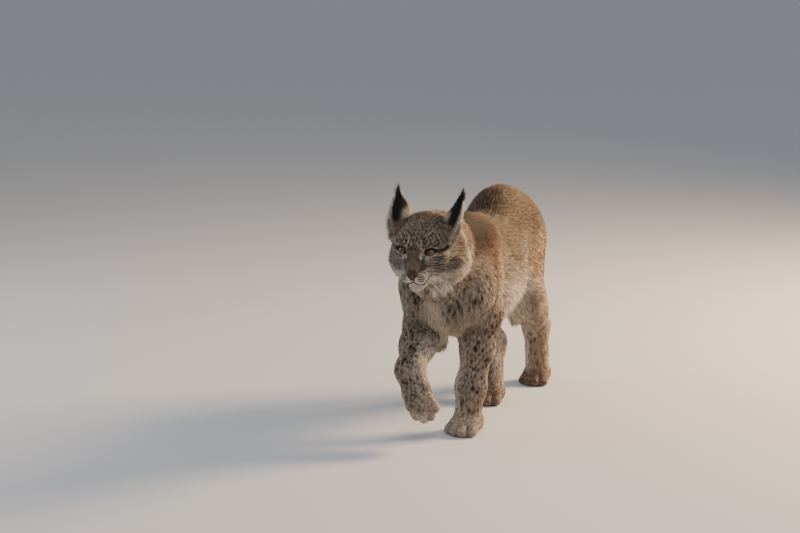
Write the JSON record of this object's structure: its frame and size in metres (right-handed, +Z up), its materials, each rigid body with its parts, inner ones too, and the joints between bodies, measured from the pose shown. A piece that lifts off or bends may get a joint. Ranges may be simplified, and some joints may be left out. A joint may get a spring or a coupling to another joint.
{
  "type": "eurasian lynx",
  "caption": "Life-size still model of a Eurasian lynx in its winter coat, walking with its right forepaw lifted.",
  "frame": {"origin": "the middle of the model's box, on the floor that the paws stand on", "axes": "+Z up; the animal faces -Y and its left side is +X"},
  "size_m": [0.2872, 1.0066, 0.7291],
  "materials": {
    "coat_fur": "grizzled grey-brown winter fur",
    "head_fur": "short streaked grey-brown fur",
    "paw_fur": "short buff fur",
    "tail_fur": "dense fur with a black tip",
    "ear_fur": "short black fur with a long tuft",
    "eye": "wet amber eye"
  },
  "bodies": {
    "root": {"ear_left": "ear_fur", "ear_right": "ear_fur", "eye_left": "eye", "eye_right": "eye", "foreleg_left": "coat_fur", "foreleg_right": "coat_fur", "forepaw_left": "paw_fur", "forepaw_right": "paw_fur", "head": "head_fur", "hindleg_left": "coat_fur", "hindleg_right": "coat_fur", "hindpaw_left": "paw_fur", "hindpaw_right": "paw_fur", "neck": "coat_fur", "tail": "tail_fur", "torso": "coat_fur"}
  },
  "joints": []
}
